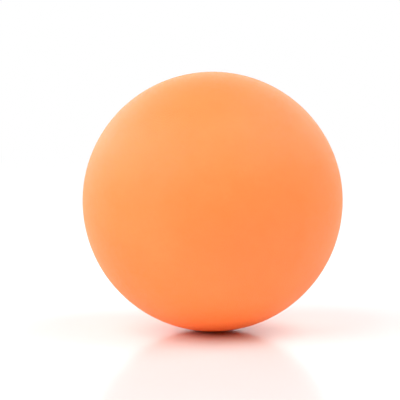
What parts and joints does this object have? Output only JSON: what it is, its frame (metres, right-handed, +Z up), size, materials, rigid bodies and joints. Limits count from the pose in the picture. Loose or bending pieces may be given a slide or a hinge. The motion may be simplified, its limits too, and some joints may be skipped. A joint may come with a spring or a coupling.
{
  "type": "lacrosse ball",
  "caption": "Smooth matte orange lacrosse ball of solid rubber: half covers pressed round a core, with a fine trimmed parting line.",
  "frame": {"origin": "centre of the ball, on the parting plane", "axes": "+Z up; Y is the axis along which the mould closed, with the front half cover on -Y and the rear half cover on +Y; the parting plane is y = 0"},
  "size_m": [0.0636, 0.0636, 0.0636],
  "materials": {
    "cover_rubber": "matte",
    "core_rubber": "matte"
  },
  "bodies": {
    "root": {"core": "core_rubber", "front_half_cover": "cover_rubber", "rear_half_cover": "cover_rubber"}
  },
  "joints": []
}
